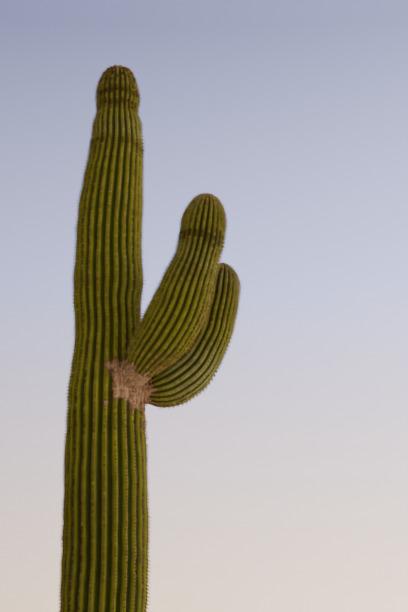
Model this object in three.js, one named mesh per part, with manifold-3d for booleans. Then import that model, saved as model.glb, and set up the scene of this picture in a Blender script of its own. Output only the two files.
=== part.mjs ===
// A saguaro cactus: one ribbed trunk and two ribbed arms that leave it by narrow corky necks and turn up.
// Millimetres, +Z up, origin at the centre of the flat cut under the trunk at ground level.
// +X is the side that the arms grow on, and -Y is the side that the plant is seen from.
import * as THREE from "three";
import Module from "manifold-3d";

// Driving dimensions
const TRUNK_HEIGHT = 6154; // ground to the top of the crown
const TRUNK_RIBS = 24;
const NEAR_ARM_RIBS = 23;
const FAR_ARM_RIBS = 20;
const GROOVE_SHARE = 0.42; // depth of a groove as a share of the distance between two rib crests
const JOINT_GAP = 0.4; // clearance between two pieces that grow together
const SKIN_COLOUR = 0x6f6b26;
const CORK_COLOUR = 0x94795a;

// How finely the solids are cut
const POINTS_PER_RIB = 2; // one on the crest and one in the groove
const RING_STEP = 240; // greatest distance between two rings on the trunk
const ARM_RING_STEP = 105;
const CROWN_RINGS = 5; // rings in the dome at the top of a stem

// A stem is described in the upright plane that it grows in. At each station, up is the height above the
// ground, out is the distance from the trunk's foot towards heading, and across is the thickness over the
// rib crests. The last station is the widest ring of the head, and the crown's dome stands on it.
// Heading is in degrees from +X towards -Y. A dome with bluntness 2 and fullness 2 is elliptical. More
// bluntness flattens its tip, and more fullness swells its sides.
const trunk = {
  heading: 0,
  ribs: TRUNK_RIBS,
  ribTurn: 0.17,
  crownHeight: TRUNK_HEIGHT - 5878,
  bluntness: 2.9,
  fullness: 1.75,
  stations: [
    { up: 0, out: 0, across: 545 }, // root flare at the ground
    { up: 130, out: 0, across: 493 },
    { up: 500, out: 0, across: 479 }, // waist of the old corky foot
    { up: 1150, out: 2, across: 527 },
    { up: 1900, out: 8, across: 573 },
    { up: 2500, out: 16, across: 588 }, // greatest girth
    { up: 3180, out: 4, across: 562 },
    { up: 3620, out: -1, across: 540 },
    { up: 3800, out: -1, across: 504 },
    { up: 4060, out: 1, across: 471 }, // waist above the arms
    { up: 4230, out: -10, across: 473 },
    { up: 4410, out: -7, across: 502 }, // a swollen year
    { up: 4600, out: -12, across: 482 },
    { up: 4880, out: -10, across: 486 },
    { up: 5230, out: 10, across: 436 },
    { up: 5520, out: 34, across: 387 },
    { up: 5680, out: 29, across: 362 },
    { up: 5785, out: 29, across: 315 }, // the neck under the crown, from a dry year
    { up: 5878, out: 29, across: 330 },
  ],
};

// The near arm comes towards the viewer and is the taller of the two.
const nearArm = {
  heading: 40,
  ribs: NEAR_ARM_RIBS,
  ribTurn: 0.98,
  crownHeight: 242,
  bluntness: 2,
  fullness: 2,
  stations: [
    { up: 3656, out: 180, across: 168 }, // hidden root of the neck inside the trunk
    { up: 3700, out: 275, across: 196 },
    { up: 3812, out: 404, across: 294 },
    { up: 3945, out: 563, across: 378 },
    { up: 4085, out: 676, across: 383 }, // the thick of the elbow
    { up: 4243, out: 753, across: 356 },
    { up: 4422, out: 841, across: 304 }, // waist
    { up: 4538, out: 878, across: 309 },
    { up: 4622, out: 893, across: 305 },
  ],
};

// The far arm lies a little behind the near one and leaves the trunk lower down.
const farArm = {
  heading: -6,
  ribs: FAR_ARM_RIBS,
  ribTurn: 0.71,
  crownHeight: 190,
  bluntness: 1.7,
  fullness: 1.7,
  stations: [
    { up: 3620, out: 190, across: 160 }, // hidden root of the neck inside the trunk
    { up: 3624, out: 275, across: 190 },
    { up: 3632, out: 349, across: 262 },
    { up: 3663, out: 436, across: 320 },
    { up: 3724, out: 528, across: 338 },
    { up: 3809, out: 615, across: 339 }, // the thick of the elbow
    { up: 3920, out: 679, across: 317 },
    { up: 4050, out: 739, across: 301 },
    { up: 4188, out: 771, across: 301 },
    { up: 4320, out: 802, across: 291 },
    { up: 4404, out: 814, across: 282 },
  ],
};

// Where each arm is divided, as stations: the neck ends at the first, and the elbow ends at the second.
const NECK_END = 2;
const NEAR_BEND_END = 5;
const FAR_BEND_END = 7;

// The smooth line through a stem's stations. Its x, y and z hold out, up and half of across.
function outline(stem) {
  const points = stem.stations.map((s) => new THREE.Vector3(s.out, s.up, s.across / 2));
  return new THREE.CatmullRomCurve3(points, false, "centripetal");
}

// One ring of a stem in its plane: the centre, the radius over the crests and the direction of growth.
function ringAt(curve, t) {
  const p = curve.getPoint(t);
  const d = curve.getTangent(t);
  const growth = new THREE.Vector2(d.x, d.y).normalize();
  return { out: p.x, up: p.y, radius: p.z, growth };
}

// Rings from one station to another, spaced no further apart than step along the stem.
function bodyRings(stem, from, to, step) {
  const curve = outline(stem);
  const spans = stem.stations.length - 1;
  const rings = [];
  for (let i = from; i < to; i += 1) {
    const a = stem.stations[i];
    const b = stem.stations[i + 1];
    const pieces = Math.ceil(Math.hypot(b.out - a.out, b.up - a.up) / step);
    for (let k = 0; k < pieces; k += 1) rings.push(ringAt(curve, (i + k / pieces) / spans));
  }
  rings.push(ringAt(curve, to / spans));
  return rings;
}

// The dome on the last ring. Its radius falls to nothing at the tip by the stem's two powers.
function crownRings(stem, base) {
  const rings = [];
  for (let k = 1; k <= CROWN_RINGS; k += 1) {
    const angle = ((Math.PI / 2) * k) / CROWN_RINGS;
    const rise = stem.crownHeight * Math.sin(angle) ** (2 / stem.fullness);
    const radius = base.radius * Math.max(Math.cos(angle), 0) ** (2 / stem.bluntness);
    rings.push({
      out: base.out + base.growth.x * rise,
      up: base.up + base.growth.y * rise,
      radius: k === CROWN_RINGS ? 0 : radius,
      growth: base.growth,
    });
  }
  return rings;
}

// The corner points of a ring, crest and groove by turns, as [x, y, z] in the plant's frame.
function ringPoints(stem, ring, extra) {
  const heading = THREE.MathUtils.degToRad(stem.heading);
  const outward = new THREE.Vector3(Math.cos(heading), -Math.sin(heading), 0);
  const sideways = new THREE.Vector3(Math.sin(heading), Math.cos(heading), 0);
  const centre = outward.clone().multiplyScalar(ring.out).setZ(ring.up);
  const outer = outward.clone().multiplyScalar(ring.growth.y).setZ(-ring.growth.x);
  const pitch = (2 * Math.PI * ring.radius) / stem.ribs;
  const count = stem.ribs * POINTS_PER_RIB;
  const points = [];
  for (let j = 0; j < count; j += 1) {
    const turn = ((j / POINTS_PER_RIB + stem.ribTurn) / stem.ribs) * 2 * Math.PI;
    const depth = j % POINTS_PER_RIB ? GROOVE_SHARE * pitch : 0;
    const r = ring.radius - depth + extra;
    points.push(
      centre
        .clone()
        .addScaledVector(outer, r * Math.cos(turn))
        .addScaledVector(sideways, r * Math.sin(turn)),
    );
  }
  return { centre, points };
}

// A closed ribbed solid through the rings, with a flat cut at its foot and a flat cut or a point at its top.
// Extra makes it thicker all round, for cutting what grows against it.
function ribbedGeometry(stem, rings, extra = 0) {
  const count = stem.ribs * POINTS_PER_RIB;
  const pointed = rings[rings.length - 1].radius === 0;
  const walls = pointed ? rings.slice(0, -1) : rings;
  const made = rings.map((ring) => ringPoints(stem, ring, extra));
  const vertices = walls.flatMap((_, i) => made[i].points);
  const foot = vertices.push(made[0].centre) - 1;
  const top = vertices.push(made[made.length - 1].centre) - 1;
  const last = (walls.length - 1) * count;
  const faces = [];
  for (let j = 0; j < count; j += 1) {
    const next = (j + 1) % count;
    faces.push(foot, next, j, top, last + j, last + next);
    for (let i = 0; i < walls.length - 1; i += 1) {
      const low = i * count;
      const high = low + count;
      faces.push(low + j, low + next, high + next, low + j, high + next, high + j);
    }
  }
  return new THREE.BufferGeometry().setFromPoints(vertices).setIndex(faces);
}

// Moves the first ring along the stem by the joint's gap, so that two pieces of one stem don't touch.
function openJoint(rings) {
  const [first, ...rest] = rings;
  const out = first.out + first.growth.x * JOINT_GAP;
  const up = first.up + first.growth.y * JOINT_GAP;
  return [{ ...first, out, up }, ...rest];
}

function mesh(name, geometry, colour) {
  const material = new THREE.MeshStandardMaterial({ color: colour, roughness: 0.8, metalness: 0 });
  geometry.computeVertexNormals();
  const made = new THREE.Mesh(geometry, material);
  made.name = name;
  return made;
}

// The solids that booleans work on, and the way back to a geometry. A ribbed geometry shares its vertices
// between its faces already, so it becomes a solid as it is.
const wasm = await Module();
wasm.setup();

function solid(geometry) {
  const vertProperties = new Float32Array(geometry.getAttribute("position").array);
  const triVerts = new Uint32Array(geometry.index.array);
  return new wasm.Manifold(new wasm.Mesh({ numProp: 3, vertProperties, triVerts }));
}

function geometryOf(shape) {
  const { vertProperties, triVerts } = shape.getMesh();
  return new THREE.BufferGeometry()
    .setAttribute("position", new THREE.BufferAttribute(vertProperties, 3))
    .setIndex(new THREE.BufferAttribute(triVerts, 1));
}

// The trunk, whole from the ground to the tip of its crown
function trunkRings() {
  const rings = bodyRings(trunk, 0, trunk.stations.length - 1, RING_STEP);
  return [...rings, ...crownRings(trunk, rings[rings.length - 1])];
}

// An arm in three pieces: the neck, cut to fit the trunk's ribs, the elbow and the upright column
function addArm(group, name, arm, bendEnd, trunkSolid) {
  const head = arm.stations.length - 1;
  const neck = solid(ribbedGeometry(arm, bodyRings(arm, 0, NECK_END, ARM_RING_STEP)));
  const fitted = geometryOf(neck.subtract(trunkSolid));
  const elbow = openJoint(bodyRings(arm, NECK_END, bendEnd, ARM_RING_STEP));
  const column = openJoint(bodyRings(arm, bendEnd, head, ARM_RING_STEP));
  const crown = crownRings(arm, column[column.length - 1]);
  group.add(mesh(`${name}_neck`, fitted, CORK_COLOUR));
  group.add(mesh(`${name}_elbow`, ribbedGeometry(arm, elbow), SKIN_COLOUR));
  group.add(mesh(`${name}_column`, ribbedGeometry(arm, [...column, ...crown]), SKIN_COLOUR));
}

const saguaro = new THREE.Group();
const rings = trunkRings();
const cutter = solid(ribbedGeometry(trunk, rings, JOINT_GAP));
saguaro.add(mesh("trunk", ribbedGeometry(trunk, rings), SKIN_COLOUR));
addArm(saguaro, "near_arm", nearArm, NEAR_BEND_END, cutter);
addArm(saguaro, "far_arm", farArm, FAR_BEND_END, cutter);

export default saguaro;
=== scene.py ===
import math

import bpy
import numpy as np
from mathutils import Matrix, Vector


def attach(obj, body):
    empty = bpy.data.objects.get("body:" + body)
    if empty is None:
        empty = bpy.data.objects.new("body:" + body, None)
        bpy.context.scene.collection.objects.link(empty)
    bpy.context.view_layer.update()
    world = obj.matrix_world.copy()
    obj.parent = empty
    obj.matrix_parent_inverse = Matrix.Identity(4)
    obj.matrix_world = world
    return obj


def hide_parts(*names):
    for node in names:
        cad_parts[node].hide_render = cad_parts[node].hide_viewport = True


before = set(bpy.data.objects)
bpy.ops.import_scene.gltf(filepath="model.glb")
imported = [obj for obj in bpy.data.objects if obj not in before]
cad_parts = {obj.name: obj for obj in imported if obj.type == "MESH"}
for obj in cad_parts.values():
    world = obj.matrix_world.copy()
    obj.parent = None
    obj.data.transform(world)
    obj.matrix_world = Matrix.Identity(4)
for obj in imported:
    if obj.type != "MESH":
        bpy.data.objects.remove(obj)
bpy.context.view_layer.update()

# The three stems: a trunk and two arms, each a fleshy column pleated into ribs that run from its foot to its
# tip. A stem grows in one upright plane, and every rib carries a row of areoles, the pads that bear the
# spines. "run" counts the areoles along a rib from the foot of the stem, and "rib" counts the ribs round it.
GROOVE_SHARE = 0.42  # depth of a groove as a share of the distance between two crests, as in the solids
AREOLE_STEP = 0.024  # metres between areoles on grown ribs
YOUNG_STEP = 0.011  # metres between them on the newest growth at the tip
YOUNG_LENGTH = 0.30  # metres below the tip over which the ribs are still stretching
SPAN_STEPS = 40  # places worked out between two stations
DOME_STEPS = 200  # and on the dome of a head

# Heading is in degrees from +X towards -Y. Stations are height above the ground, distance out from the
# trunk's foot and thickness over the crests, and crown is the dome's height, all in millimetres. Bluntness
# and fullness are the dome's two powers. Cork thins out between the two lengths of cork_fade, in metres from
# the stem's foot. Painted light, where the skin is painted paler and greyer like a bloom of wax to stand for
# light falling on it, is given as metres from the foot, half a width and a share, and fresh is the share of
# the young colour at the tip. Bands are the dark growth rings: height and half a width in millimetres, and a
# share.
trunk = {
    "name": "trunk",
    "heading": 0,
    "ribs": 24,
    "rib_turn": 0.17,
    "crown": 276,
    "bluntness": 2.9,
    "fullness": 1.75,
    "cork_fade": (0.25, 1.70),
    "painted_light": ((5.62, 0.08, 0.45),),
    "fresh": 0.5,
    "bands": ((6050, 130, 0.62), (5908, 28, 0.75), (5850, 100, 0.2), (5806, 40, 0.7), (5480, 40, 0.75),
              (5230, 30, 0.25), (4930, 36, 0.25), (4365, 44, 0.35), (4120, 36, 0.25), (3330, 40, 0.2),
              (2700, 45, 0.2)),
    "stations": ((0, 0, 545), (130, 0, 493), (500, 0, 479), (1150, 2, 527), (1900, 8, 573), (2500, 16, 588),
                 (3180, 4, 562), (3620, -1, 540), (3800, -1, 504), (4060, 1, 471), (4230, -10, 473),
                 (4410, -7, 502), (4600, -12, 482), (4880, -10, 486), (5230, 10, 436), (5520, 34, 387),
                 (5680, 29, 362), (5785, 29, 315), (5878, 29, 330)),
}
near_arm = {
    "name": "near_arm",
    "heading": 40,
    "ribs": 23,
    "rib_turn": 0.98,
    "crown": 242,
    "bluntness": 2,
    "fullness": 2,
    "cork_fade": (0.08, 0.26),
    "painted_light": ((1.05, 0.13, 0.35),),
    "fresh": 1.0,
    "bands": ((4542, 56, 0.85), (4350, 34, 0.2)),
    "stations": ((3656, 180, 168), (3700, 275, 196), (3812, 404, 294), (3945, 563, 378), (4085, 676, 383),
                 (4243, 753, 356), (4422, 841, 304), (4538, 878, 309), (4622, 893, 305)),
}
far_arm = {
    "name": "far_arm",
    "heading": -6,
    "ribs": 20,
    "rib_turn": 0.71,
    "crown": 190,
    "bluntness": 1.7,
    "fullness": 1.7,
    "cork_fade": (0.06, 0.20),
    "painted_light": ((0.45, 0.22, 0.9), (1.25, 0.15, 0.8)),
    "fresh": 1.0,
    "bands": ((4330, 35, 0.35), (4150, 30, 0.25)),
    "stations": ((3620, 190, 160), (3624, 275, 190), (3632, 349, 262), (3663, 436, 320), (3724, 528, 338),
                 (3809, 615, 339), (3920, 679, 317), (4050, 739, 301), (4188, 771, 301), (4320, 802, 291),
                 (4404, 814, 282)),
}
stems = (trunk, near_arm, far_arm)


def curve_through(points, steps):
    """A cubic from each point to the next. The slope at a point is shared between the chords on its two
    sides by the square roots of their lengths, which is the line that the solids were drawn along."""
    p = np.asarray(points, float)
    p = np.vstack([2 * p[0] - p[1], p, 2 * p[-1] - p[-2]])
    p0, p1, p2, p3 = p[:-3], p[1:-2], p[2:-1], p[3:]
    d0, d1, d2 = (np.sqrt(np.linalg.norm(b - a, axis=1))[:, None] for a, b in ((p0, p1), (p1, p2), (p2, p3)))
    slope1 = ((p1 - p0) / d0 - (p2 - p0) / (d0 + d1) + (p2 - p1) / d1) * d1
    slope2 = ((p2 - p1) / d1 - (p3 - p1) / (d1 + d2) + (p3 - p2) / d2) * d1
    w = (np.arange(steps) / steps)[:, None, None]
    square = 3 * (p2 - p1) - 2 * slope1 - slope2
    cube = 2 * (p1 - p2) + slope1 + slope2
    line = p1 + slope1 * w + square * w**2 + cube * w**3
    return np.vstack([line.transpose(1, 0, 2).reshape(-1, p.shape[1]), p2[-1]])


def lay_out(stem):
    """Fills in a stem's line: at some hundreds of places from the foot to the tip, the centre, the radius
    over the crests and the direction of growth. The head is a dome, blunt at its tip and full at its sides
    as its two powers say. The run at a place is the length of rib below it divided by the areoles' spacing
    there, added up. Start is the run of each rib's first areole, below 1 and dealt out by a seed."""
    up, out, across = curve_through(stem["stations"], SPAN_STEPS).T / 1000
    growth = np.stack([np.gradient(out), np.gradient(up)])
    growth /= np.linalg.norm(growth, axis=0)
    angle = np.linspace(0, math.pi / 2, DOME_STEPS)[1:]
    rise = stem["crown"] / 1000 * np.sin(angle) ** (2 / stem["fullness"])
    shrink = np.maximum(np.cos(angle), 0) ** (2 / stem["bluntness"])
    stem["out"] = np.concatenate([out, out[-1] + growth[0, -1] * rise])
    stem["up"] = np.concatenate([up, up[-1] + growth[1, -1] * rise])
    stem["radius"] = np.concatenate([across, across[-1] * shrink]) / 2
    stem["growth_out"] = np.concatenate([growth[0], np.full(rise.size, growth[0, -1])])
    stem["growth_up"] = np.concatenate([growth[1], np.full(rise.size, growth[1, -1])])
    steps = np.sqrt(sum(np.diff(stem[part]) ** 2 for part in ("out", "up", "radius")))
    stem["length"] = np.concatenate([[0], np.cumsum(steps)])
    to_tip = stem["length"][-1] - stem["length"]
    spacing = AREOLE_STEP - (AREOLE_STEP - YOUNG_STEP) * np.exp(-((to_tip / YOUNG_LENGTH) ** 2))
    stem["run"] = np.concatenate([[0], np.cumsum(steps * 2 / (spacing[1:] + spacing[:-1]))])
    rng = np.random.default_rng(stem["ribs"])
    stem["start"] = rng.uniform(0, 1, stem["ribs"])


for stem in stems:
    lay_out(stem)


def along(stem, run, what):
    """A value of the stem's line at each run."""
    return np.interp(run, stem["run"], stem[what])


def waves(stem, run, rib, seed, length, around):
    """Smooth unevenness, mostly from -1 to 1: eight sine waves with seeded slants, each at least length
    metres long and with a whole number up to around of them round the stem, so that they join up with
    themselves."""
    rng = np.random.default_rng(seed)
    metres = along(stem, run, "length")
    total = np.zeros(np.broadcast(run, rib).shape)
    for _ in range(8):
        per_metre = rng.uniform(0.35, 1) / length
        per_turn = rng.integers(-around, around + 1)
        phase = rng.uniform(0, 1)
        total += np.sin(2 * math.pi * (metres * per_metre + rib / stem["ribs"] * per_turn + phase))
    return total / 3.2


def smooth_step(low, high, value):
    """0 below low, 1 above high, and an S-curve between."""
    t = np.clip((value - low) / (high - low), 0, 1)
    return t * t * (3 - 2 * t)


def axes_of(stem, run):
    """The two directions across a stem: outer, in its plane and away from the trunk, and sideways."""
    heading = math.radians(stem["heading"])
    out, up = along(stem, run, "growth_out"), along(stem, run, "growth_up")
    outer = np.stack([up * math.cos(heading), -up * math.sin(heading), -out], axis=-1)
    return outer, np.array([math.sin(heading), math.cos(heading), 0])


def centre_of(stem, run):
    """The middle of a stem."""
    heading = math.radians(stem["heading"])
    out, up = along(stem, run, "out"), along(stem, run, "up")
    return np.stack([out * math.cos(heading), -out * math.sin(heading), up], axis=-1)


ROOT_OUT = 0.27  # metres from the trunk's middle line to its surface, where the arms leave it
ROOT_CORK = (0.09, 0.24)  # metres from an arm's root over which the trunk's cork thins out
PATCH_SHIFT = (-0.02, 0, -0.06)  # metres from an arm's root to the middle of that patch
BROWNED_SHADE_PLACE = (0.71, -0.45, 4.02)  # where the near arm's skin is browned as painted shade, against the far arm
BROWNED_SHADE_REACH = (0.03, 0.20)  # metres across, and twice as far up and down
BROWNED_SHADE_SHARE = 0.34  # how far it is browned, where full cork has 1
UNDERSIDE_SHADE_SHARE = 0.42  # how far the underside of an arm's bend is browned like cork, as painted shade under it

arm_roots = [centre_of(arm, np.interp(ROOT_OUT, arm["out"], arm["run"])) for arm in (near_arm, far_arm)]


def cork_and_shade_at(stem, run, rib, points):
    """How far the skin has turned to cork, from 0 to 1, with painted shade counted in as browning. It turns
    from the foot of a stem upwards along a ragged edge, furthest along the crests, and on the trunk also in
    a patch round each arm's root, centred a little below it. As painted shade, an arm's underside is browned
    for twice that length by the square of how far the rib faces down, and so is a tall patch where the near
    arm meets the far one."""
    ragged = 0.20 * waves(stem, run, rib, 5, 0.25, 9) + 0.08 * waves(stem, run, rib, 6, 0.07, 16)
    ragged = ragged - 0.09 * np.cos(2 * math.pi * rib)
    low, high = stem["cork_fade"]
    reach = along(stem, run, "length") * (1 + ragged)
    cork_and_shade = 1 - smooth_step(low, high, reach)
    if stem is trunk:
        for root in arm_roots:
            distance = np.linalg.norm((points - root - PATCH_SHIFT) * (1, 1, 0.85), axis=-1)
            cork_and_shade = np.maximum(cork_and_shade, 1 - smooth_step(*ROOT_CORK, distance * (1 + ragged)))
    else:
        # Painted shade: the underside of an arm's bend is browned like cork, where it lies in shadow
        under = np.maximum(np.cos(2 * math.pi / stem["ribs"] * (rib + stem["rib_turn"])), 0)
        underside_shade = UNDERSIDE_SHADE_SHARE * (1 - smooth_step(high, 2 * high, reach))
        cork_and_shade = np.maximum(cork_and_shade, underside_shade * under**2)
    # Painted shade: a browned patch on the near arm where it meets the far arm and lies in its shadow
    if stem is near_arm:
        distance = np.linalg.norm((points - BROWNED_SHADE_PLACE) * (1, 1, 0.5), axis=-1)
        browned_shade = 1 - smooth_step(*BROWNED_SHADE_REACH, distance * (1 + ragged))
        cork_and_shade = np.maximum(cork_and_shade, BROWNED_SHADE_SHARE * browned_shade)
    return cork_and_shade


def bumps(value, places):
    """The sum of soft bumps, each a share times e to the minus square of the distance from its middle,
    counted in halves of its width."""
    return sum(share * np.exp(-(((value - middle) / half) ** 2)) for middle, half, share in places)


def band_at(stem, run, rib):
    """The dark rings where a dry year held up the growth: a soft bump of each band's strength at its height,
    which wanders by a centimetre from rib to rib and is stronger on some than on others."""
    up = along(stem, run, "up") * 1000 + 7 * waves(stem, run, rib, 71, 0.6, 6)
    strength = 0.95 + 0.15 * waves(stem, run, rib, 72, 0.9, 3)
    return strength * bumps(up, stem["bands"])


# The relief of the skin, in metres
AREOLE_SWELLING = 0.0022  # half of the rise and fall along a crest from areole to areole
SLOW_WAVES = 0.0035  # unevenness some decimetres long
SHORT_WAVES = 0.0020  # and some centimetres long
CORK_CRUST = 0.0042  # roughness of the cork
BAND_PINCH = 0.004  # how far a growth ring draws the skin in
FULL_PITCH = 0.05  # distance between crests from which the relief has its full size

# The grooves, as shares of their depth unless another measure is given
CORK_FILLS = 0.55  # what full cork takes away
TIP_FILLS, TIP_AREOLES = 0.12, 12  # what is missing at a tip, and over how many areoles it comes in
ARM_GROOVE, ARM_DEEPENS = 0.70, 0.85  # an arm's groove at its root, and what the way to the tip adds
GROOVE_UNEVEN = 0.10
GROOVE_WANDER = 0.06  # ribs


def surface(stem, run, rib):
    """Points on a stem at a run and a rib. From the crest the skin falls into the groove as the 1.5th power
    of the way across half a rib, and it swells a little under each areole. The grooves wander. They are a
    little shallower at the tip and much shallower in cork, and on an arm they deepen with the square of the
    way to its tip. Slow and short waves, the crust of the cork and the growth rings are added along the same
    direction."""
    run, rib = np.broadcast_arrays(np.asarray(run, float), np.asarray(rib, float))
    radius = along(stem, run, "radius")
    pitch = 2 * math.pi * radius / stem["ribs"]
    grown = np.minimum(pitch / FULL_PITCH, 1)
    outer, sideways = axes_of(stem, run)
    wander = GROOVE_WANDER * waves(stem, run, rib, 11, 0.7, 3) * grown
    turn = (2 * math.pi / stem["ribs"] * (rib + stem["rib_turn"] + wander))[..., None]
    radial = outer * np.cos(turn) + sideways * np.sin(turn)
    centre = centre_of(stem, run)
    cork_and_shade = cork_and_shade_at(stem, run, rib, centre + radial * radius[..., None])
    across = np.abs(2 * (rib - np.round(rib)))
    shallow = (1 - CORK_FILLS * cork_and_shade) * (1 - TIP_FILLS * np.exp(-(stem["run"][-1] - run) / TIP_AREOLES))
    if stem is not trunk:
        way = along(stem, run, "length") / stem["length"][-1]
        shallow = shallow * (ARM_GROOVE + ARM_DEEPENS * way**2)
    depth = GROOVE_SHARE * pitch * (1 + GROOVE_UNEVEN * waves(stem, run, rib, 21, 0.5, 9)) * shallow
    areole = run - stem["start"][np.round(rib).astype(int) % stem["ribs"]]
    swelling = AREOLE_SWELLING * np.cos(2 * math.pi * areole) * (1 - across) ** 2
    uneven = SLOW_WAVES * waves(stem, run, rib, 31, 0.45, 4)
    uneven += SHORT_WAVES * waves(stem, run, rib, 33, 0.12, 2)
    crust = CORK_CRUST * cork_and_shade * waves(stem, run, rib, 41, 0.07, 40)
    pinch = BAND_PINCH * band_at(stem, run, rib)
    height = radius - depth * across**1.5 + (swelling + uneven + crust - pinch) * grown
    return centre + radial * height[..., None]


# The living skin of the trunk and the arms. A thin waxy epidermis, dull olive, over green flesh, paler along
# the crests, with painted shade drawn down in the grooves. Old skin turns to cork at the foot of the trunk
# and round the arms' roots: tan, pinkish on the younger scars, grey-brown and cracked at the ground.
WAXY_CREST = "#7a7c1f"
# The groove colour is painted shade: the skin is drawn darker down in the grooves, where they lie in shadow
GROOVE_PAINTED_SHADE = "#363d04"
WAXY_YOUNG = "#82883c"
# A pale grey for painted light: patches of skin drawn paler, like a bloom of wax, where light falls on them
PAINTED_LIGHT_GREY = "#8b8e58"
# Brown of the growth rings: partly their own colour, partly painted shade in the pinch of each ring
BAND_BROWN_AND_SHADE = "#3b3004"
CREST_LINE = "#7a6a20"
CORK_TAN = "#a3815c"
CORK_GREY = "#75684f"
CORK_CRACK = "#46321f"
CORK_RUST = "#513820"
MOTTLES_PER_METRE = 30.0  # mottles of the cork about 33 mm wide
FRINGES_PER_METRE = 34.0  # tongues of its rusty fringe about 29 mm wide
SKIN_FISSURES = (30.0, 30.0, 8.0)  # fissures of the cork to a metre along X, Y and Z
CORK_CRACKS = ((1.0, 0.030, 0.75), (2.6, 0.035, 0.4))  # fissures, then cracks: fineness, width and darkness
PORE_WIDE = 0.00625  # metres: pores of the skin, drawn about ten times too coarse so that they show
YOUTH_AREOLES = 14  # areoles from a tip down over which the young colour fades


def linear(hex_colour):
    """An sRGB colour such as #6f6426 as linear red, green, blue and an alpha of 1."""
    s = np.array([int(hex_colour[i : i + 2], 16) / 255 for i in (1, 3, 5)])
    return (*np.where(s > 0.04045, ((s + 0.055) / 1.055) ** 2.4, s / 12.92), 1)


def new_material(name):
    """A material with nothing in it but its output, and its node tree."""
    material = bpy.data.materials.new(name)
    material.use_nodes = True
    material.node_tree.nodes.clear()
    return material, material.node_tree


def add_node(tree, kind, inputs, **settings):
    """Adds a node, sets its properties and fills its inputs: a socket is linked, and a value is set."""
    node = tree.nodes.new("ShaderNode" + kind)
    for name, value in settings.items():
        setattr(node, name, value)
    for name, value in inputs.items():
        if isinstance(value, bpy.types.NodeSocket):
            tree.links.new(value, node.inputs[name])
        else:
            node.inputs[name].default_value = value
    return node


def closed_faces(rows, columns):
    """The faces of a closed surface whose points are rows of rings, then one at its top and one at its foot:
    four corners each between the rows, and a fan of triangles to either end."""
    count = rows * columns
    corner = np.arange(count).reshape(rows, columns)
    beside = np.roll(corner, -1, axis=1)
    walls = np.stack([corner[:-1], beside[:-1], beside[1:], corner[1:]], axis=-1).reshape(-1, 4)
    top = np.stack([corner[-1], beside[-1], np.full(columns, count)], axis=-1)
    under = np.stack([beside[0], corner[0], np.full(columns, count + 1)], axis=-1)
    return walls, top, under


def new_piece(name, points, faces, materials):
    """A mesh of points and faces, given as one array of corners for each kind of face, as a piece that rides
    on the root body and takes its finish from a slot."""
    mesh = bpy.data.meshes.new(name)
    corners = [face for group in faces for face in group.tolist()]
    mesh.from_pydata(points.reshape(-1, 3), [], corners)
    for material in materials:
        mesh.materials.append(material)
    piece = bpy.data.objects.new(name, mesh)
    bpy.context.scene.collection.objects.link(piece)
    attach(piece, "root")
    return piece


# The waxy skin scatters light softly and hardly shines. Its crests are yellower at the young tips and
# painted paler and greyer where light falls, the growth rings are brown with painted shade in their pinch,
# and the green skin is darker towards the bottom of the trunk.
waxy_skin, tree = new_material("waxy_cactus_skin")
place = add_node(tree, "TexCoord", {}).outputs["Object"]
on_ribs = add_node(tree, "UVMap", {}, uv_map="ribs").outputs["UV"]
flute = add_node(tree, "Attribute", {}, attribute_name="flute").outputs["Fac"]
band = add_node(tree, "Attribute", {}, attribute_name="band").outputs["Fac"]
cork_and_shade = add_node(tree, "Attribute", {}, attribute_name="cork_and_shade").outputs["Fac"]
youth = add_node(tree, "Attribute", {}, attribute_name="youth").outputs["Fac"]
painted_light = add_node(tree, "Attribute", {}, attribute_name="painted_light").outputs["Fac"]

# Blotches, and streaks that run down the ribs
BLOTCH_WIDE = 0.125  # metres
STREAKS_ACROSS_RIB = 9.0
STREAKS_PER_AREOLE = 0.22  # lengthwise, so that a streak is about 11 cm long
blotch = add_node(
    tree, "TexNoise", {"Vector": place, "Scale": 1 / BLOTCH_WIDE, "Detail": 5.0, "Roughness": 0.6}
)
streak_spread = (STREAKS_ACROSS_RIB, STREAKS_PER_AREOLE, 1.0)
streak_place = add_node(tree, "VectorMath", {0: on_ribs, 1: streak_spread}, operation="MULTIPLY")
streak = add_node(tree, "TexNoise", {"Vector": streak_place.outputs[0], "Scale": 1.0, "Detail": 3.0})
# Painted shade: towards the bottom of a groove the colour turns to the dark groove colour
groove_shade_share = add_node(
    tree, "MapRange", {"Value": flute, "From Min": 0.05, "From Max": 0.7}, interpolation_type="SMOOTHSTEP"
)
young_share = add_node(tree, "Math", {0: youth, 1: 0.75}, operation="MULTIPLY")
young_crest = add_node(
    tree, "Mix", {0: young_share.outputs[0], 6: linear(WAXY_CREST), 7: linear(WAXY_YOUNG)}, data_type="RGBA"
)
# Painted light: the crest colour is made paler and greyer in its patches
lit_crest = add_node(
    tree, "Mix", {0: painted_light, 6: young_crest.outputs[2], 7: linear(PAINTED_LIGHT_GREY)}, data_type="RGBA"
)
groove_shaded = add_node(
    tree,
    "Mix",
    {0: groove_shade_share.outputs[0], 6: lit_crest.outputs[2], 7: linear(GROOVE_PAINTED_SHADE)},
    data_type="RGBA",
)
blotch_light = add_node(
    tree,
    "MapRange",
    {"Value": blotch.outputs[0], "From Min": 0.3, "From Max": 0.7, "To Min": 0.80, "To Max": 1.16},
)
streak_light = add_node(
    tree,
    "MapRange",
    {"Value": streak.outputs[0], "From Min": 0.3, "From Max": 0.7, "To Min": 0.82, "To Max": 1.14},
)
patchy_light = add_node(
    tree, "Math", {0: blotch_light.outputs[0], 1: streak_light.outputs[0]}, operation="MULTIPLY"
)

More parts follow.
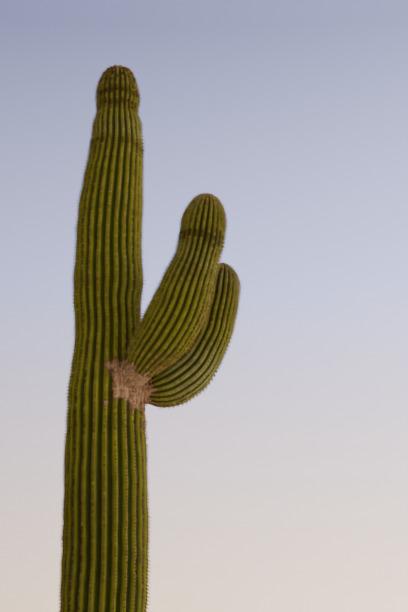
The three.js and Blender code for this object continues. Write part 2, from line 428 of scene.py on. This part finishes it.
# Skin is darker towards the bottom, from 3.6 m above the ground down to 2.7 m
height = add_node(tree, "SeparateXYZ", {0: place}).outputs["Z"]
low_darkening = add_node(
    tree, "MapRange", {"Value": height, "From Min": 2.7, "From Max": 3.6, "To Min": 0.76, "To Max": 1.0}
)
patchy_darker_low = add_node(
    tree, "Math", {0: patchy_light.outputs[0], 1: low_darkening.outputs[0]}, operation="MULTIPLY"
)
mottled = add_node(
    tree, "VectorMath", {0: groove_shaded.outputs[2], "Scale": patchy_darker_low.outputs[0]}, operation="SCALE"
)

# The worn line along each crest, which fades out a seventh of a rib to either side
crest_line = add_node(
    tree, "MapRange", {"Value": flute, "From Min": 0.0, "From Max": 0.16, "To Min": 0.4, "To Max": 0.0}
)
worn = add_node(
    tree, "Mix", {0: crest_line.outputs[0], 6: mottled.outputs[0], 7: linear(CREST_LINE)}, data_type="RGBA"
)
# The growth rings, brown partly by their own colour and partly as painted shade in their pinch
band_brown_and_shade_share = add_node(tree, "Math", {0: band, 1: 0.75}, operation="MULTIPLY")
lined = add_node(
    tree, "Mix", {0: band_brown_and_shade_share.outputs[0], 6: worn.outputs[2], 7: linear(BAND_BROWN_AND_SHADE)}, data_type="RGBA"
)


def cork_look(tree, place, stretch):
    """The colour and the relief of cork. Fissures 2 to 3 mm wide run where one noise crosses its middle
    value, and finer cracks where a second one does. Stretch is how many fissures cross a metre along X, Y
    and Z. Cork is mottled, and greyer towards the ground."""
    height = add_node(tree, "SeparateXYZ", {0: place}).outputs["Z"]
    weathered = add_node(
        tree, "MapRange", {"Value": height, "From Min": 0.5, "From Max": 2.5, "To Min": 0.85, "To Max": 0.1}
    )
    mixed = add_node(
        tree, "Mix", {0: weathered.outputs[0], 6: linear(CORK_TAN), 7: linear(CORK_GREY)}, data_type="RGBA"
    )
    mottle_settings = {"Scale": MOTTLES_PER_METRE, "Detail": 7.0, "Roughness": 0.7}
    mottle = add_node(tree, "TexNoise", {"Vector": place, **mottle_settings})
    mottle_light = add_node(
        tree,
        "MapRange",
        {"Value": mottle.outputs[0], "From Min": 0.3, "From Max": 0.7, "To Min": 0.55, "To Max": 1.35},
    )
    mottled = add_node(
        tree, "VectorMath", {0: mixed.outputs[2], "Scale": mottle_light.outputs[0]}, operation="SCALE"
    )
    flat = mottled.outputs[0]
    relief = mottle.outputs[0]
    for fineness, width, dark in CORK_CRACKS:
        spread = tuple(fineness * part for part in stretch)
        crack_place = add_node(tree, "VectorMath", {0: place, 1: spread}, operation="MULTIPLY")
        wave = add_node(
            tree,
            "TexNoise",
            {"Vector": crack_place.outputs[0], "Scale": 1.0, "Detail": 4.0, "Roughness": 0.55},
        )
        centred = add_node(tree, "Math", {0: wave.outputs[0], 1: 0.5}, operation="SUBTRACT")
        beside = add_node(tree, "Math", {0: centred.outputs[0]}, operation="ABSOLUTE")
        crack = add_node(
            tree,
            "MapRange",
            {"Value": beside.outputs[0], "From Min": 0.0, "From Max": width, "To Min": dark, "To Max": 0.0},
        )
        flat = add_node(
            tree, "Mix", {0: crack.outputs[0], 6: flat, 7: linear(CORK_CRACK)}, data_type="RGBA"
        ).outputs[2]
        relief = add_node(tree, "Math", {0: relief, 1: crack.outputs[0]}, operation="SUBTRACT").outputs[0]
    return flat, relief


# On the skin the cork has a rusty fringe where it has only begun to turn
cork_skin, cork_relief = cork_look(tree, place, SKIN_FISSURES)
# The same mix browns the painted shade under the arms' bends and where the near arm meets the far arm
fringe = add_node(
    tree, "TexNoise", {"Vector": place, "Scale": FRINGES_PER_METRE, "Detail": 6.0, "Roughness": 0.6}
)
ragged_cork = add_node(tree, "Math", {0: fringe.outputs[0], 1: 1.3, 2: cork_and_shade}, operation="MULTIPLY_ADD")
rusty = add_node(
    tree, "MapRange", {"Value": ragged_cork.outputs[0], "From Min": 0.78, "From Max": 1.2, "To Max": 0.8}
)
rusty_skin = add_node(
    tree, "Mix", {0: rusty.outputs[0], 6: lined.outputs[2], 7: linear(CORK_RUST)}, data_type="RGBA"
)
corky = add_node(tree, "MapRange", {"Value": ragged_cork.outputs[0], "From Min": 1.05, "From Max": 1.35})
colour = add_node(
    tree, "Mix", {0: corky.outputs[0], 6: rusty_skin.outputs[2], 7: cork_skin}, data_type="RGBA"
)
roughness = add_node(tree, "MapRange", {"Value": corky.outputs[0], "To Min": 0.62, "To Max": 0.95})

# Relief too fine for the mesh: pores on the skin, fissures in the cork
pores = add_node(tree, "TexNoise", {"Vector": place, "Scale": 1 / PORE_WIDE, "Detail": 3.0})
cork_share = add_node(tree, "Math", {0: corky.outputs[0], 1: 2.5}, operation="MULTIPLY")
plate_relief = add_node(tree, "Math", {0: cork_relief, 1: cork_share.outputs[0]}, operation="MULTIPLY")
relief = add_node(
    tree, "Math", {0: pores.outputs[0], 1: 0.6, 2: plate_relief.outputs[0]}, operation="MULTIPLY_ADD"
)
bump = add_node(tree, "Bump", {"Height": relief.outputs[0], "Strength": 0.7, "Distance": 0.0015})
shader = add_node(tree, "BsdfPrincipled", {
    "Base Color": colour.outputs[2],
    "Roughness": roughness.outputs[0],
    "Normal": bump.outputs[0],
    "IOR": 1.42,
    "Specular IOR Level": 0.12,
})
add_node(tree, "OutputMaterial", {"Surface": shader.outputs[0]})


def pleated_skin(stem, first_run, points_per_rib):
    """The skin of a stem as one closed mesh. Rows follow the runs, two to an areole, and columns stand on
    crests and in grooves with the rest between, closer together near both. The tip is a point and the foot
    is flat."""
    last_run = stem["run"][-1]
    runs = np.append(np.arange(first_run, last_run - 0.2, 1 / 2), last_run)
    step = np.arange(points_per_rib) / points_per_rib
    spread = step - 0.05 * np.sin(4 * math.pi * step)
    ribs = (np.arange(stem["ribs"])[:, None] + spread).ravel()
    body = surface(stem, runs[:-1, None], ribs[None, :])
    foot = centre_of(stem, runs[:1])
    if stem is trunk:
        body[0, :, 2] = 0
        foot[:, 2] = 0
    tip = centre_of(stem, runs[-1:])
    rows, columns = body.shape[:2]
    points = np.concatenate([body.reshape(-1, 3), tip, foot])
    piece = new_piece(stem["name"] + "_skin", points, closed_faces(rows, columns), [waxy_skin])
    piece.data.shade_smooth()

    # What the skin's material reads: one value for each point, and the place on the ribs for each corner
    across = np.broadcast_to(np.abs(2 * (ribs - np.round(ribs))), (rows, columns))
    to_tip = last_run - runs[:-1, None]
    # The patches of painted light along the stem
    painted_light = bumps(along(stem, runs[:-1, None], "length"), stem["painted_light"])
    values = {
        "flute": across**1.5,
        "band": band_at(stem, runs[:-1, None], ribs[None, :]),
        "cork_and_shade": cork_and_shade_at(stem, runs[:-1, None], ribs[None, :], body),
        "youth": np.broadcast_to(stem["fresh"] * np.exp(-to_tip / YOUTH_AREOLES), (rows, columns)),
        "painted_light": np.broadcast_to(painted_light, (rows, columns)),
    }
    for name, value in values.items():
        layer = piece.data.attributes.new(name, "FLOAT", "POINT")
        ends = [value[-1].mean(), value[0].mean()]
        layer.data.foreach_set("value", np.concatenate([value.ravel(), ends]).astype(np.float32))
    on_rib = np.append(ribs, stem["ribs"])
    left = np.arange(columns)
    nearest = np.round((on_rib[left] + on_rib[left + 1]) / 2).astype(int)
    start = stem["start"][nearest % stem["ribs"]]
    low, high = runs[:-2, None] - start, runs[1:-1, None] - start
    rib, beside = on_rib[left] + 0 * low, on_rib[left + 1] + 0 * low
    wall_uv = np.stack([rib, low, beside, low, beside, high, rib, high], axis=-1).reshape(-1, 2)
    rib, beside, highest, lowest = rib[0], beside[0], high[-1], low[0]
    top_uv = np.stack([rib, highest, beside, highest, rib, highest + 1], axis=-1)
    under_uv = np.stack([beside, lowest, rib, lowest, rib, lowest - 1], axis=-1)
    uv = np.concatenate([wall_uv, top_uv.reshape(-1, 2), under_uv.reshape(-1, 2)])
    piece.data.uv_layers.new(name="ribs").data.foreach_set("uv", uv.ravel().astype(np.float32))
    return piece


trunk_skin = pleated_skin(trunk, first_run=0, points_per_rib=6)
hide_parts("trunk")
near_arm_skin = pleated_skin(near_arm, first_run=1, points_per_rib=8)
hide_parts("near_arm_elbow", "near_arm_column")
far_arm_skin = pleated_skin(far_arm, first_run=1, points_per_rib=8)
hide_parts("far_arm_elbow", "far_arm_column")


# The corky collars. Where an arm leaves the trunk its neck is wrapped in dry bark, wrinkled round the neck
# and fissured, which thins out along a ragged line on the green skin.
COLLAR_THICK = 0.010  # metres over the skin, next to the trunk
COLLAR_FALL = 0.018  # and how much less at its edge
COLLAR_START = 0.4  # run of a collar's foot, which lies inside the trunk
COLLAR_ROWS, COLLAR_COLUMNS = 60, 160
COLLAR_FISSURES = (26.0, 20.0, 34.0)  # to a metre along X, Y and Z

collar_bark, tree = new_material("corky_bark")
place = add_node(tree, "TexCoord", {}).outputs["Object"]
bark_colour, bark_relief = cork_look(tree, place, COLLAR_FISSURES)
bump = add_node(tree, "Bump", {"Height": bark_relief, "Strength": 0.8, "Distance": 0.003})
shader = add_node(tree, "BsdfPrincipled", {
    "Base Color": bark_colour,
    "Roughness": 0.93,
    "Normal": bump.outputs[0],
    "Specular IOR Level": 0.2,
})
add_node(tree, "OutputMaterial", {"Surface": shader.outputs[0]})


def corky_collar(arm, reach):
    """A closed sleeve round an arm's neck, from inside the trunk to reach metres along the arm. Its
    thickness over the skin falls to less than nothing with the square of the way, so that it sinks into the
    arm along a ragged line, with wrinkles round the neck that are a few millimetres high."""
    last = np.interp(reach, arm["length"], arm["run"])
    runs = np.linspace(COLLAR_START, last, COLLAR_ROWS)[:, None]
    ribs = np.linspace(0, arm["ribs"], COLLAR_COLUMNS, endpoint=False)[None, :]
    share = (runs - COLLAR_START) / (last - COLLAR_START)
    points = surface(arm, runs, ribs)
    outward = points - centre_of(arm, runs)
    outward /= np.linalg.norm(outward, axis=-1, keepdims=True)
    wrinkles = 0.0025 * waves(arm, runs, ribs, 51, 0.03, 3) + 0.0030 * waves(arm, runs, ribs, 52, 0.12, 9)
    thickness = COLLAR_THICK - COLLAR_FALL * share**2 + wrinkles
    points = (points + outward * thickness[..., None]).reshape(-1, 3)
    points = np.concatenate([points, centre_of(arm, runs[-1]), centre_of(arm, runs[0])])
    faces = closed_faces(COLLAR_ROWS, COLLAR_COLUMNS)
    piece = new_piece(arm["name"] + "_collar", points, faces, [collar_bark])
    piece.data.shade_smooth()
    return piece


near_collar = corky_collar(near_arm, 0.19)
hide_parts("near_arm_neck")
far_collar = corky_collar(far_arm, 0.15)
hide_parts("far_arm_neck")


# The areoles and their spines. Every few centimetres along a crest sits a small oval pad of felt, from which
# a ring of short spines lies spread over the rib and a few longer ones stand out and point down.
FIRST_AREOLES = (0.12, 0.17, 0.15)  # metres from the foot of the trunk and of each arm to its lowest areoles
FALLEN_SHARE = 0.85  # share of the areoles that full cork has lost
SMALLEST = 0.6  # size of an areole at a tip, where a grown one has 1
GROWING = 20  # each areole down from the tip is larger by one part in this many
rng = np.random.default_rng(20)


def unit(vectors):
    """The vectors at length 1."""
    return vectors / np.linalg.norm(vectors, axis=-1, keepdims=True)


def areoles_of(stem, first_length):
    """Every areole of a stem above first_length metres: its place on the crest, the directions up the rib,
    across it and out of it, how many areoles lie between it and the tip, how corky the skin under it is and
    how strong a growth ring is there. The directions are the slopes of the skin, along one areole's step and
    across one rib."""
    first_run = np.interp(first_length, stem["length"], stem["run"])
    last_run = stem["run"][-1]
    count = int(last_run - first_run)
    rib = np.repeat(np.arange(stem["ribs"]), count + 1)
    run = np.tile(np.arange(count + 1), stem["ribs"]) + np.ceil(first_run) + stem["start"][rib]
    inside = run < last_run - 0.6
    rib, run = rib[inside], run[inside]
    point = surface(stem, run, rib)
    up = unit(surface(stem, np.minimum(run + 0.5, last_run), rib) - surface(stem, run - 0.5, rib))
    across = surface(stem, run, rib + 0.5) - surface(stem, run, rib - 0.5)
    out = unit(np.cross(across, up))
    across = np.cross(up, out)
    return {
        "point": point,
        "up": up,
        "across": across,
        "out": out,
        "to_tip": last_run - run,
        "cork_and_shade": cork_and_shade_at(stem, run, rib, point),
        "band": band_at(stem, run, rib),
    }


areoles = [areoles_of(stem, first) for stem, first in zip(stems, FIRST_AREOLES)]
places = {key: np.concatenate([a[key] for a in areoles]) for key in areoles[0]}
kept = rng.uniform(size=len(places["cork_and_shade"])) > FALLEN_SHARE * places["cork_and_shade"]
places = {key: value[kept] for key, value in places.items()}
owner = np.repeat(np.arange(len(stems)), [len(a["point"]) for a in areoles])[kept]
total = len(places["point"])
areole_size = np.clip(SMALLEST + places["to_tip"] / GROWING, 0, 1)


def plain_finish(name, hex_colour, roughness):
    """A material of one plain colour, for things a millimetre or so wide that lie all over the plant."""
    material, tree = new_material(name)
    shader = add_node(tree, "BsdfPrincipled", {
        "Base Color": linear(hex_colour),
        "Roughness": roughness,
        "Specular IOR Level": 0.12,
    })
    add_node(tree, "OutputMaterial", {"Surface": shader.outputs[0]})
    return material


# The felt pads: oval domes of short matted wool, grey-brown on old ribs and lighter brown near the tips.
# Felt takes light without a shine.
PAD_LONG, PAD_WIDE, PAD_HIGH = 0.0058, 0.0042, 0.0032  # metres: half the length, half the width, and height
PAD_SUNK = 0.0012  # metres that a pad's foot lies under the skin
YOUNG_AREOLES, YOUNG_SPREAD = 16, 4  # areoles from a tip down that are still young, and how that varies
old_felt = plain_finish("weathered_felt", "#5e5130", 1.0)
young_felt = plain_finish("fresh_brown_felt", "#826f3a", 1.0)


def felt_pads(name, chosen, material):
    """Six corners on an ellipse round the foot of each pad, a hair under the skin, and one point on top."""
    angle = np.arange(6) * math.pi / 3
    size = areole_size[chosen, None, None] * rng.uniform(0.85, 1.2, (chosen.size, 1, 1))
    point, up, across, out = (places[key][chosen][:, None] for key in ("point", "up", "across", "out"))
    ring = up * (PAD_LONG * np.cos(angle))[:, None] - across * (PAD_WIDE * np.sin(angle))[:, None]
    ring = ring - out * PAD_SUNK
    points = np.concatenate([point + ring * size, point + out * PAD_HIGH * size], axis=1)
    first = 7 * np.arange(chosen.size)[:, None, None]
    around = np.arange(6)
    sides = first + np.stack([around, np.roll(around, 1), np.full(6, 6)], axis=-1)
    under = first[:, 0] + around
    new_piece(name, points, (sides.reshape(-1, 3), under), [material])


is_young = places["to_tip"] < rng.normal(YOUNG_AREOLES, YOUNG_SPREAD, total)
felt_pads("old_felt_pads", np.flatnonzero(~is_young), old_felt)
felt_pads("young_felt_pads", np.flatnonzero(is_young), young_felt)


# The spines: stiff woody needles, weathered grey-brown where they are old, straw-coloured on most of the
# plant, golden brown near the tips and dark in the growth rings, in three tones each that are dealt out by
# areole. They are dull enough to show their own colour from all sides.
RING_SPINES, LONG_SPINES = 12, 5
RING_LENGTH, LONG_LENGTH = (0.011, 0.019), (0.016, 0.029)  # least and greatest, in metres
RING_RISE, LONG_RISE = (12, 42), (38, 85)  # degrees off the rib
RING_THICK, LONG_THICK = 0.0008, 0.0011  # metres from the middle of a foot to its corners
FOOT_ASIDE, FOOT_OUT = 0.0025, 0.0008  # metres from an areole's middle to the foot of a spine
OLD_AREOLES, OLD_SPREAD = 125, 12  # areoles from a tip down where spines turn grey, and how that varies
DARK_FROM, DARK_ALL = 0.40, 0.95  # strength of a growth ring where the first and the last spines turn dark
SPINE_COLOURS = {
    "grey": ("#745f2e", "#846c38", "#5c4920"),
    "straw": ("#90803a", "#a29044", "#78682e"),
    "brown": ("#978848", "#827237", "#a69654"),
    "dark": ("#574418", "#453411", "#685222"),
}
spine_finishes = {
    kind: [plain_finish(f"{kind}_spine_{tone}", colour, 0.6) for tone, colour in enumerate(colours)]
    for kind, colours in SPINE_COLOURS.items()
}


def spine_cluster(name, chosen, finishes):
    """Needles of three long faces and a small foot. In a ring their bearings are spread evenly and shaken.
    The long ones rise more steeply and mostly point down the rib."""
    count = chosen.size
    ring, long = (count, RING_SPINES), (count, LONG_SPINES)
    bearing = (np.arange(RING_SPINES) + rng.uniform(-0.4, 0.4, ring)) * 2 * math.pi / RING_SPINES
    bearing = np.concatenate([bearing, rng.normal(-math.pi / 2, 0.9, long)], axis=1)
    rise = np.concatenate([rng.uniform(*RING_RISE, ring), rng.uniform(*LONG_RISE, long)], axis=1)
    rise = np.radians(rise)
    length = np.concatenate([rng.uniform(*RING_LENGTH, ring), rng.uniform(*LONG_LENGTH, long)], axis=1)
    length = length * areole_size[chosen, None] * rng.uniform(0.85, 1.1, (count, 1))
    thick = np.repeat([RING_THICK, LONG_THICK], (RING_SPINES, LONG_SPINES))
    point, up, across, out = (places[key][chosen][:, None] for key in ("point", "up", "across", "out"))
    flat = up * np.sin(bearing)[..., None] + across * np.cos(bearing)[..., None]
    toward = flat * np.cos(rise)[..., None] + out * np.sin(rise)[..., None]
    side = unit(np.cross(toward, rng.normal(size=toward.shape)))
    over = np.cross(toward, side)
    root = point + flat * FOOT_ASIDE + out * FOOT_OUT
    turn = np.arange(3) * 2 * math.pi / 3
    foot = side[..., None, :] * np.cos(turn)[:, None] + over[..., None, :] * np.sin(turn)[:, None]
    foot = root[..., None, :] + foot * thick[:, None, None]
    tip = root + toward * length[..., None]
    points = np.concatenate([foot, tip[..., None, :]], axis=-2).reshape(-1, 3)
    first = 4 * np.arange(points.shape[0] // 4)[:, None, None]
    faces = (first + np.array([(0, 1, 3), (1, 2, 3), (2, 0, 3), (0, 2, 1)])).reshape(-1, 3)
    piece = new_piece(name, points, (faces,), finishes)
    tone = np.repeat(rng.integers(0, len(finishes), count), 4 * (RING_SPINES + LONG_SPINES))
    piece.data.polygons.foreach_set("material_index", tone.astype(np.int32))


age = places["to_tip"] + rng.normal(0, OLD_SPREAD, total)
kind_of = np.where(is_young, "brown", np.where(age > OLD_AREOLES, "grey", "straw"))
kind_of = np.where(places["band"] > rng.uniform(DARK_FROM, DARK_ALL, total), "dark", kind_of)
for kind in SPINE_COLOURS:
    on_trunk = np.flatnonzero((kind_of == kind) & (owner == 0))
    on_arms = np.flatnonzero((kind_of == kind) & (owner > 0))
    if on_trunk.size:
        spine_cluster(f"trunk_{kind}_spines", on_trunk, spine_finishes[kind])
    if on_arms.size:
        spine_cluster(f"arm_{kind}_spines", on_arms, spine_finishes[kind])


# The woolly tips. At each tip the youngest areoles crowd into a tan cushion of wool, soft and without a
# shine, with tufts that show as a rough relief.
CROWN_WOOL = "#bb9560"
TUFTS_PER_METRE = 120.0  # tufts about 8 mm wide
WOOL_LIFT, WOOL_SUNK = 0.009, 0.006  # metres over the skin at the tip, and under it at the cushion's edge
WOOL_ROWS, WOOL_COLUMNS = 14, 48

crown_wool, tree = new_material("crown_wool")
place = add_node(tree, "TexCoord", {}).outputs["Object"]
tufts = add_node(
    tree, "TexNoise", {"Vector": place, "Scale": TUFTS_PER_METRE, "Detail": 5.0, "Roughness": 0.7}
)
wool_light = add_node(
    tree,
    "MapRange",
    {"Value": tufts.outputs[0], "From Min": 0.3, "From Max": 0.7, "To Min": 0.6, "To Max": 1.2},
)
colour = add_node(
    tree, "VectorMath", {0: linear(CROWN_WOOL)[:3], "Scale": wool_light.outputs[0]}, operation="SCALE"
)
bump = add_node(tree, "Bump", {"Height": tufts.outputs[0], "Strength": 1.0, "Distance": 0.004})
shader = add_node(tree, "BsdfPrincipled", {
    "Base Color": colour.outputs[0],
    "Roughness": 1.0,
    "Normal": bump.outputs[0],
    "Specular IOR Level": 0.15,
})
add_node(tree, "OutputMaterial", {"Surface": shader.outputs[0]})


def wool_cap(stem, areoles_down):
    """A low cushion over a tip, from some areoles down: the head's surface without its ribs, raised along
    the stem by the square root of the way to the tip, from under the skin at the edge, with a tufted top."""
    last = stem["run"][-1]
    runs = np.append(np.linspace(last - areoles_down, last - 0.15, WOOL_ROWS), last)
    ribs = np.linspace(0, stem["ribs"], WOOL_COLUMNS, endpoint=False)
    centre = centre_of(stem, last)
    edge = surface(stem, runs[:-1, None], np.round(ribs)[None, :])
    growth = np.cross(*axes_of(stem, last))
    share = np.linspace(0, 1, WOOL_ROWS)[:, None]
    tuft = 0.0035 * waves(stem, runs[:-1, None], ribs[None, :], 61, 0.02, 9)
    lift = (WOOL_LIFT + WOOL_SUNK) * np.sqrt(share) - WOOL_SUNK + tuft
    body = edge + growth * lift[..., None]
    ends = np.stack([centre + growth * WOOL_LIFT, body[0].mean(axis=0)])
    points = np.concatenate([body.reshape(-1, 3), ends])
    faces = closed_faces(WOOL_ROWS, WOOL_COLUMNS)
    piece = new_piece(stem["name"] + "_crown_wool", points, faces, [crown_wool])
    piece.data.shade_smooth()


wool_cap(trunk, 7)
wool_cap(near_arm, 3.5)
wool_cap(far_arm, 3)


# The bud husks. On the shoulders of the trunk's crown stand the dry husks of last season's buds, each grown
# out of an areole. They are dead and papery, dark brown and rusty, and wrinkled.
HUSK_BROWN = "#4a3016"
HUSK_RUST = "#8a5a26"
WRINKLES_PER_METRE = 60.0  # wrinkles and rusty spots about 17 mm wide
HUSK_RINGS, HUSK_SIDES = 9, 12
HUSK_SCALES = 4  # overlapping scales in a ring
HUSK_TWIST = 14  # radians that the spirals of scales turn from a husk's foot to its tip
HUSK_WIDE, HUSK_LONG = (0.009, 0.013), (0.016, 0.026)  # least and greatest radius and length, in metres
HUSK_SUNK = 0.003  # metres of a husk inside its areole
HUSK_AREOLES = 14  # areoles from the tip down that can bear one

dry_husk, tree = new_material("dry_bud_husk")
place = add_node(tree, "TexCoord", {}).outputs["Object"]
wither = add_node(tree, "TexNoise", {"Vector": place, "Scale": WRINKLES_PER_METRE, "Detail": 4.0})
rust_share = add_node(tree, "MapRange", {"Value": wither.outputs[0], "From Min": 0.35, "From Max": 0.65})
colour = add_node(
    tree, "Mix", {0: rust_share.outputs[0], 6: linear(HUSK_BROWN), 7: linear(HUSK_RUST)}, data_type="RGBA"
)
bump = add_node(tree, "Bump", {"Height": wither.outputs[0], "Strength": 1.0, "Distance": 0.003})
shader = add_node(tree, "BsdfPrincipled", {
    "Base Color": colour.outputs[2],
    "Roughness": 0.9,
    "Normal": bump.outputs[0],
    "Specular IOR Level": 0.2,
})
add_node(tree, "OutputMaterial", {"Surface": shader.outputs[0]})


def bud_husks(stem_number, nearest, farthest, share):
    """Husks on a share of the areoles near the tip that stand between two distances from the stem's middle
    line, more of them on the -X and +X sides. A husk is a lathed bud: its radius follows a sine of the way
    up, drawn out at the top, and swells and sinks as a cosine round it that turns on the way up, which gives
    spirals of scales."""
    stem = stems[stem_number]
    centre = centre_of(stem, stem["run"][-1])
    offset = (places["point"] - centre) * (1, 1, 0)
    away = np.linalg.norm(offset, axis=-1)
    chance = share * (0.3 + 1.2 * (offset[:, 0] / np.maximum(away, 0.001)) ** 2)
    near_tip = (owner == stem_number) & (places["to_tip"] < HUSK_AREOLES)
    can_bear = near_tip & (away > nearest) & (away < farthest)
    chosen = np.flatnonzero(can_bear & (rng.uniform(size=total) < chance))
    up_share = np.linspace(0.02, 0.98, HUSK_RINGS)[:, None]
    turn = np.arange(HUSK_SIDES)[None, :] * 2 * math.pi / HUSK_SIDES
    profile = np.sin(math.pi * up_share**0.8) * (1 - 0.35 * up_share) + 0.12
    scales = 1 + 0.16 * np.cos(HUSK_SCALES * turn + HUSK_TWIST * up_share)
    wide = rng.uniform(*HUSK_WIDE, (chosen.size, 1, 1))
    long = rng.uniform(*HUSK_LONG, (chosen.size, 1, 1))
    radius = (wide * profile * scales)[..., None]
    point, up, across, out = (places[key][chosen][:, None, None] for key in ("point", "up", "across", "out"))
    one_each = (chosen.size, 1, 1, 1)
    lean = unit(out + up * rng.uniform(0.2, 0.7, one_each) + across * rng.normal(0, 0.2, one_each))
    side = unit(np.cross(lean, across))
    over = np.cross(lean, side)
    circle = side * np.cos(turn)[..., None] + over * np.sin(turn)[..., None]
    body = point + lean * (long * up_share - HUSK_SUNK)[..., None] + circle * radius
    end_heights = np.stack([long[:, 0, 0], np.full(chosen.size, -HUSK_SUNK)], axis=1)
    ends = point[:, 0] + lean[:, 0] * end_heights[..., None]
    points = np.concatenate([body.reshape(chosen.size, -1, 3), ends], axis=1)
    walls, top, under = closed_faces(HUSK_RINGS, HUSK_SIDES)
    caps = np.concatenate([top, under])
    first = points.shape[1] * np.arange(chosen.size)[:, None, None]
    faces = ((first + walls).reshape(-1, 4), (first + caps).reshape(-1, 3))
    piece = new_piece(stem["name"] + "_bud_husks", points, faces, [dry_husk])
    piece.data.shade_smooth()


bud_husks(0, nearest=0.055, farthest=0.110, share=0.26)


# The studio. A plain pale floor, and round it a pale backdrop that is warm low down and lavender higher up,
# and much brighter on the right than on the left. A broad warm light stands on the right and a little
# behind. The camera stands at eye height 8.7 m in front of the plant and looks up at it.
FLOOR_PALE = "#f2ede2"
BACKDROP_TOP, BACKDROP_MIDDLE, BACKDROP_LOW = "#777ba0", "#b1b5e2", "#ffdfbe"
BACKDROP_CEILING = "#dbd0c2"
BACKDROP_STRENGTH = 2.8
TOWARD_GLOW = (0.68, 0.07, 0.0)  # the side that the backdrop is brightest on, and by how much
EVEN_GLOW = 0.78  # what is added to that on all sides
GLOW_STEEPNESS = 1.5  # power that the sum is raised to
LIGHT_PLACE, LIGHT_TARGET, LIGHT_SIZE = (13, 2.6, 6.0), (0, 0, 4), 6  # metres
LIGHT_POWER, LIGHT_COLOUR = 900, (1.0, 0.84, 0.64)  # watts, and its warm tint
FLOOR_RADIUS = 150  # metres
EYE_HEIGHT, DISTANCE, ASIDE = 1.5, 8.7, 0.69  # metres
LOOKS_UP = 17.5  # degrees
LENS, LONG_SIDE = 74, 36  # mm

floor_finish, tree = new_material("pale_floor")
shader = add_node(tree, "BsdfPrincipled", {"Base Color": linear(FLOOR_PALE), "Roughness": 0.9})
add_node(tree, "OutputMaterial", {"Surface": shader.outputs[0]})
floor_mesh = bpy.data.meshes.new("floor")
bearing = np.arange(48) * 2 * math.pi / 48
rim = FLOOR_RADIUS * np.stack([np.cos(bearing), np.sin(bearing), 0 * bearing], axis=-1)
floor_mesh.from_pydata(rim, [], [range(48)])
floor_mesh.materials.append(floor_finish)
floor = bpy.data.objects.new("floor", floor_mesh)
bpy.context.scene.collection.objects.link(floor)

backdrop = bpy.data.worlds.new("backdrop")
backdrop.use_nodes = True
tree = backdrop.node_tree
tree.nodes.clear()
direction = add_node(tree, "TexCoord", {}).outputs["Generated"]

# Rise is the sine of the angle above the horizon: the low colour up to 0.05, the middle one at 0.31, the
# top one from 0.50 and the ceiling's from 0.88
rise = add_node(tree, "SeparateXYZ", {0: direction}).outputs["Z"]
low_share = add_node(tree, "MapRange", {"Value": rise, "From Min": 0.05, "From Max": 0.31})
lower = add_node(
    tree,
    "Mix",
    {0: low_share.outputs[0], 6: linear(BACKDROP_LOW), 7: linear(BACKDROP_MIDDLE)},
    data_type="RGBA",
)
high_share = add_node(tree, "MapRange", {"Value": rise, "From Min": 0.31, "From Max": 0.50})
whole = add_node(
    tree, "Mix", {0: high_share.outputs[0], 6: lower.outputs[2], 7: linear(BACKDROP_TOP)}, data_type="RGBA"
)
ceiling_share = add_node(tree, "MapRange", {"Value": rise, "From Min": 0.66, "From Max": 0.88})
over = add_node(
    tree,
    "Mix",
    {0: ceiling_share.outputs[0], 6: whole.outputs[2], 7: linear(BACKDROP_CEILING)},
    data_type="RGBA",
)

# The backdrop's brightness: the direction times the glow's, a share for all sides, and that to a power
toward_glow = add_node(tree, "VectorMath", {0: direction, 1: TOWARD_GLOW}, operation="DOT_PRODUCT")
evenness = add_node(tree, "Math", {0: toward_glow.outputs["Value"], 1: EVEN_GLOW}, operation="ADD")
steeper = add_node(tree, "Math", {0: evenness.outputs[0], 1: GLOW_STEEPNESS}, operation="POWER")
strength = add_node(tree, "Math", {0: steeper.outputs[0], 1: BACKDROP_STRENGTH}, operation="MULTIPLY")
background = add_node(tree, "Background", {"Color": over.outputs[2], "Strength": strength.outputs[0]})
add_node(tree, "OutputWorld", {"Surface": background.outputs[0]})
bpy.context.scene.world = backdrop

light_data = bpy.data.lights.new("warm_light", "AREA")
light_data.size = LIGHT_SIZE
light_data.energy = LIGHT_POWER
light_data.color = LIGHT_COLOUR
warm_light = bpy.data.objects.new("warm_light", light_data)
warm_light.location = LIGHT_PLACE
facing = Vector(LIGHT_TARGET) - Vector(LIGHT_PLACE)
warm_light.rotation_euler = facing.to_track_quat("-Z", "Y").to_euler()
bpy.context.scene.collection.objects.link(warm_light)

camera_data = bpy.data.cameras.new("camera")
camera_data.lens = LENS
camera_data.sensor_width = LONG_SIDE
camera = bpy.data.objects.new("camera", camera_data)
camera.location = (ASIDE, -DISTANCE, EYE_HEIGHT)
camera.rotation_euler = (math.radians(90 + LOOKS_UP), 0, 0)
bpy.context.scene.collection.objects.link(camera)
bpy.context.scene.camera = camera
